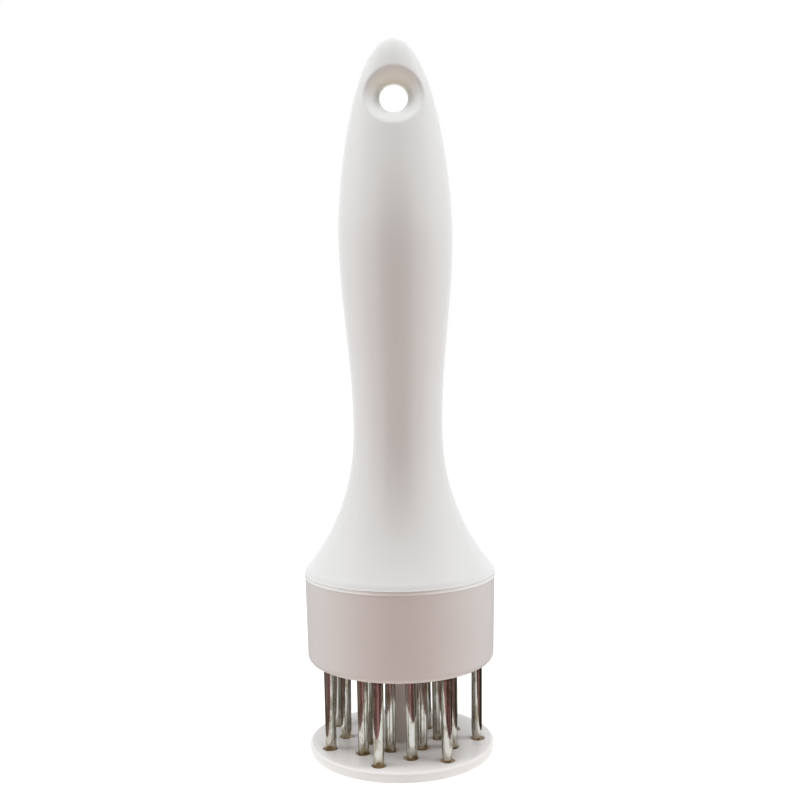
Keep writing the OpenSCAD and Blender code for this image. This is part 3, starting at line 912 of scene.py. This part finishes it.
class TENDERIZER_OT_post(bpy.types.Operator):
    """Models the guide post between the guard plate and the cup."""

    bl_idname = "tenderizer.post"
    bl_label = "Guide post"

    def execute(self, context):
        s = context.scene.tenderizer_post
        finishes = context.scene.tenderizer_finishes
        post_r = POST_HIGH.x
        bottom = (s.screw_r, POST_HIGH.z - s.screw_h)
        outline = [
            bottom,
            (s.core_r, POST_HIGH.z - s.screw_h),
            (s.core_r, POST_LOW.z),
            (s.foot_r + s.stake, POST_LOW.z),
            (s.foot_r, POST_LOW.z + s.stake),
            (s.foot_r, PLATE_HIGH.z),
        ]
        outline += arc(post_r - s.collar, PLATE_HIGH.z + s.collar, s.collar, -90, 0, steps=4)
        outline += [
            (post_r, POST_HIGH.z - s.collar),
            (post_r - s.collar, POST_HIGH.z),
            (s.screw_r, POST_HIGH.z),
            bottom,
        ]
        piece = turned("post", outline, s.sides, closed=True)
        smooth(piece, 30)
        # The post's darker, pinker finish is painted shade.
        dress(piece, satin_plastic("post_plastic", finishes.post_shaded_white, rough=0.42, shade=0.88))
        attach(piece, "guard")
        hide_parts("guide_post")
        return {"FINISHED"}


class TENDERIZER_OT_needles(bpy.types.Operator):
    """Models one needle and sets a copy of it in the place of each CAD needle."""

    bl_idname = "tenderizer.needles"
    bl_label = "Needles"

    def execute(self, context):
        s = context.scene.tenderizer_needle
        steel = needle_steel(context.scene.tenderizer_finishes)
        head, tip, _ = needle_place(NEEDLES[0])
        tall = (head - tip).length
        pattern = self.pattern(s, tall)
        smooth(pattern, 22)
        dress(pattern, steel)
        for name in NEEDLES:
            head, tip, turn = needle_place(name)
            lean = Vector((0, 0, 1)).rotation_difference(head - tip).to_matrix().to_4x4()
            piece = bpy.data.objects.new(name.replace("needle", "rod"), pattern.data.copy())
            context.scene.collection.objects.link(piece)
            piece.data.transform(Matrix.Translation(tip) @ lean @ Matrix.Rotation(turn, 4, "Z"))
            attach(piece, "handle")
            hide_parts(name)
        bpy.data.objects.remove(pattern)
        return {"FINISHED"}

    def pattern(self, s, tall):
        """A needle that stands on its tip, with the chisel edge along X."""
        under_head, edge = tall - s.head_h, 0.15 * MM
        above_tip = 1.5 * s.tip_h    # a ring here keeps the chisel's faces clear of the long rod
        outline = [
            (s.radius, 0),
            (s.radius, above_tip),
            (s.radius, under_head),
            (s.head_r, under_head),
            (s.head_r, tall - edge),
            (s.head_r - edge, tall),
        ]
        piece = turned("pattern", outline, s.sides)
        flank = math.atan((s.radius - s.tip_edge / 2) / s.tip_h)
        for side in (1, -1):
            choose(piece, "EDIT")
            bpy.ops.mesh.bisect(
                plane_co=(0, side * s.tip_edge / 2, 0),
                plane_no=(0, side * math.cos(flank), -math.sin(flank)),
                use_fill=True,
                clear_outer=True,
            )
        bpy.ops.object.mode_set(mode="OBJECT")
        apply_modifier(
            piece, "BEVEL", width=s.edge_break, segments=3, limit_method="ANGLE",
            angle_limit=math.radians(12), use_clamp_overlap=True,
        )
        return piece


class TENDERIZER_OT_inner_parts(bpy.types.Operator):
    """Finishes the pieces inside the cup and the handle, which keep their CAD shape."""

    bl_idname = "tenderizer.inner_parts"
    bl_label = "Inner parts"

    def execute(self, context):
        finishes = context.scene.tenderizer_finishes
        clamp = satin_plastic("clamp_plastic", finishes.satin_white, rough=0.45)
        zinc = plain_metal("zinc_plate", finishes.zinc, rough=0.32)
        wire = plain_metal("spring_wire", finishes.wire, rough=0.25, stretch=(1, 1, 6))
        dress(frame["nodes"]["needle_clamp_plate"], clamp)
        dress(frame["nodes"]["return_spring"], wire)
        for name in ("clamp_screws", "post_washer", "post_screw"):
            dress(frame["nodes"][name], zinc)
        return {"FINISHED"}


# ---- the stage


def softbox(name, at, size, power, tint=(1, 1, 1), aim=(0, 0, 0.1)):
    """A rectangular lamp that looks at a point of the object and that glossy faces don't mirror."""
    lamp = bpy.data.lights.new(name, "AREA")
    lamp.shape = "RECTANGLE"
    lamp.size, lamp.size_y = size
    lamp.energy = power
    lamp.color = tint
    holder = bpy.data.objects.new(name, lamp)
    bpy.context.scene.collection.objects.link(holder)
    holder.location = at
    holder.rotation_mode = "QUATERNION"
    holder.rotation_quaternion = (Vector(aim) - Vector(at)).to_track_quat("-Z", "Y")
    holder.visible_glossy = False


def background_rays(made):
    """1 where a ray shows the background: from the camera, or by way of gloss or glass."""
    path = made.add("ShaderNodeLightPath")
    total = path.outputs["Is Camera Ray"]
    for name in ("Is Glossy Ray", "Is Transmission Ray"):
        total = made.calculate("MAXIMUM", total, path.outputs[name])
    return total


# What the card shows at places along its noise, in linear light, and where its front sector lies
ROSE_BANDS = (
    (0.38, (0.030, 0.014, 0.016)), (0.45, (0.54, 0.27, 0.26)), (0.51, (0.05, 0.024, 0.026)),
    (0.60, (0.42, 0.21, 0.20)), (0.68, (0.06, 0.04, 0.038)), (0.80, (0.40, 0.34, 0.31)),
)
BROWN_BANDS = (
    (0.38, (0.03, 0.022, 0.018)), (0.52, (0.11, 0.085, 0.065)), (0.75, (0.34, 0.31, 0.27)),
)
FRONT_SECTOR = ((0.04, (0, 0, 0)), (0.11, (1, 1, 1)), (0.39, (1, 1, 1)), (0.46, (0, 0, 0)))


class TENDERIZER_OT_stage(bpy.types.Operator):
    """Sets up the white floor, the even world, the lamps, the reflection card and the camera."""

    bl_idname = "tenderizer.stage"
    bl_label = "Studio"

    def execute(self, context):
        s = context.scene.tenderizer_stage
        self.world(context.scene, s)
        self.floor(s)
        self.card(s)
        self.front_card(s)
        for side, name in ((-1, "left_lamp"), (1, "right_lamp")):
            at = (side * s.side_at.x, s.side_at.y, s.side_at.z)
            softbox(name, at, s.side_size, s.side_power, s.side_tint)
        softbox("top_lamp", s.top_at, s.top_size, s.top_power)
        self.camera(context.scene, s)
        context.scene.view_settings.view_transform = "Standard"
        return {"FINISHED"}

    def world(self, scene, s):
        """White wherever the background shows, and a weaker even light on the object."""
        world = bpy.data.worlds.new("studio")
        scene.world = world
        world.use_nodes = True
        graph = Graph(world.node_tree)
        plain = world.node_tree.nodes["Background"]
        rays = background_rays(graph)
        graph.feed(plain.inputs["Color"], graph.mix(rays, s.ambient_tint, (1, 1, 1)))
        graph.feed(plain.inputs["Strength"], graph.spread(rays, s.ambient, 1, start=0, stop=1))

    def floor(self, s):
        """A pale floor that shows white and keeps the object's shadow."""
        clear_selection()
        bpy.ops.mesh.primitive_plane_add(size=6, location=(0, 0, PLATE_LOW.z))
        floor = settle("floor")
        made = Finish("floor")
        rays = background_rays(made)
        bounce, seen_white = (0.80, 0.79, 0.78), (0.30, 0.30, 0.30)
        made.set(Base_Color=made.mix(rays, bounce, seen_white), Roughness=0.9)
        seen = made.add("ShaderNodeMixShader", Fac=rays)
        for socket, tone, strength in (
            (1, (1, 0.99, 0.98), s.floor_glow),
            (2, (1, 1, 1), s.floor_shown),
        ):
            glow = made.add("ShaderNodeEmission", Color=tone, Strength=strength)
            both = made.add("ShaderNodeAddShader")
            made.feed(both.inputs[0], glow.outputs[0])
            made.feed(both.inputs[1], made.shader.outputs[0])
            made.feed(seen.inputs[socket], both.outputs[0])
        made.surface(seen.outputs[0])
        dress(floor, made.material)

    def card(self, s):
        """A dark rose card around the tool, unseen by the camera, that gives the steel depth."""
        clear_selection()
        centre = (0, -s.card_shift, s.card_lift)
        bpy.ops.mesh.primitive_circle_add(
            vertices=96, radius=s.card_gap, location=centre, fill_type="NOTHING"
        )
        card = settle("card")
        choose(card, "EDIT")
        bpy.ops.mesh.extrude_region_move(TRANSFORM_OT_translate={"value": (0, 0, 0)})
        grow = s.card_reach / s.card_gap
        bpy.ops.transform.resize(value=(grow, grow, 1), center_override=centre)
        bpy.ops.object.mode_set(mode="OBJECT")
        made = Finish("card")
        around = made.add("ShaderNodeTexGradient", Vector=made.place)
        around.gradient_type = "RADIAL"
        bands = made.add("ShaderNodeTexNoise", Scale=11.0, Detail=1.0)
        bands.noise_dimensions = "1D"
        made.feed(bands.inputs["W"], around.outputs["Fac"])
        front = made.ramp(around.outputs["Fac"], FRONT_SECTOR)
        brown, rose = (made.ramp(bands.outputs["Fac"], stops) for stops in (BROWN_BANDS, ROSE_BANDS))
        mirrored = made.mix(front, brown, rose)
        bounced = made.mix(front, s.bounce_side, s.bounce_front)
        diffuse = made.add("ShaderNodeLightPath").outputs["Is Diffuse Ray"]
        self.light_up(card, made, made.mix(diffuse, mirrored, bounced))

    def front_card(self, s):
        """A dim rose card behind the camera, which only glossy faces mirror."""
        clear_selection()
        bpy.ops.mesh.primitive_plane_add(size=1, location=s.front_at, rotation=(math.pi / 2, 0, 0))
        bpy.context.object.scale = (*s.front_size, 1)
        card = settle("front_card")
        self.light_up(card, Finish("front_card"), s.front_tone)
        card.visible_diffuse = False

    def light_up(self, card, made, tone):
        """A card shines in its tone, casts no shadow and isn't seen by the camera."""
        glow = made.add("ShaderNodeEmission", Color=tone, Strength=1.0)
        made.surface(glow.outputs[0])
        dress(card, made.material)
        card.visible_camera = False
        card.visible_shadow = False
        card.visible_transmission = False

    def camera(self, scene, s):
        """The photograph's camera."""
        lens = bpy.data.cameras.new("camera")
        lens.lens = s.lens
        lens.sensor_width = 36
        lens.clip_start = 0.01
        camera = bpy.data.objects.new("camera", lens)
        scene.collection.objects.link(camera)
        camera.location = s.camera_at
        camera.rotation_mode = "QUATERNION"
        level = Euler((math.pi / 2 - s.pitch, 0, 0)).to_quaternion()
        camera.rotation_quaternion = level @ Quaternion((0, 0, 1), s.roll)
        scene.camera = camera


class TENDERIZER_PT_panel(bpy.types.Panel):
    """Lists the pieces of the tenderizer in the order in which they are made."""

    bl_label = "Needle Meat Tenderizer"
    bl_idname = "TENDERIZER_PT_panel"
    bl_space_type = "VIEW_3D"
    bl_region_type = "UI"
    bl_category = "Tenderizer"

    def draw(self, context):
        for operator in OPERATORS:
            self.layout.operator(operator.bl_idname)


OPERATORS = (
    TENDERIZER_OT_handle,
    TENDERIZER_OT_cup,
    TENDERIZER_OT_guard_disc,
    TENDERIZER_OT_post,
    TENDERIZER_OT_needles,
    TENDERIZER_OT_inner_parts,
    TENDERIZER_OT_stage,
)
GROUPS = {
    "tenderizer_handle": HandleSizes,
    "tenderizer_cup": CupSizes,
    "tenderizer_plate": PlateSizes,
    "tenderizer_post": PostSizes,
    "tenderizer_needle": NeedleSizes,
    "tenderizer_finishes": Finishes,
    "tenderizer_stage": StageSizes,
}


def register():
    for name, group in GROUPS.items():
        bpy.utils.register_class(group)
        setattr(bpy.types.Scene, name, bpy.props.PointerProperty(type=group))
    for operator in OPERATORS:
        bpy.utils.register_class(operator)
    bpy.utils.register_class(TENDERIZER_PT_panel)


def unregister():
    bpy.utils.unregister_class(TENDERIZER_PT_panel)
    for operator in reversed(OPERATORS):
        bpy.utils.unregister_class(operator)
    for name, group in reversed(GROUPS.items()):
        delattr(bpy.types.Scene, name)
        bpy.utils.unregister_class(group)


def main():
    """Makes every piece."""
    register()
    bpy.ops.tenderizer.handle()
    bpy.ops.tenderizer.cup()
    bpy.ops.tenderizer.guard_disc()
    bpy.ops.tenderizer.post()
    bpy.ops.tenderizer.needles()
    bpy.ops.tenderizer.inner_parts()
    bpy.ops.tenderizer.stage()


if __name__ == "__main__":
    main()
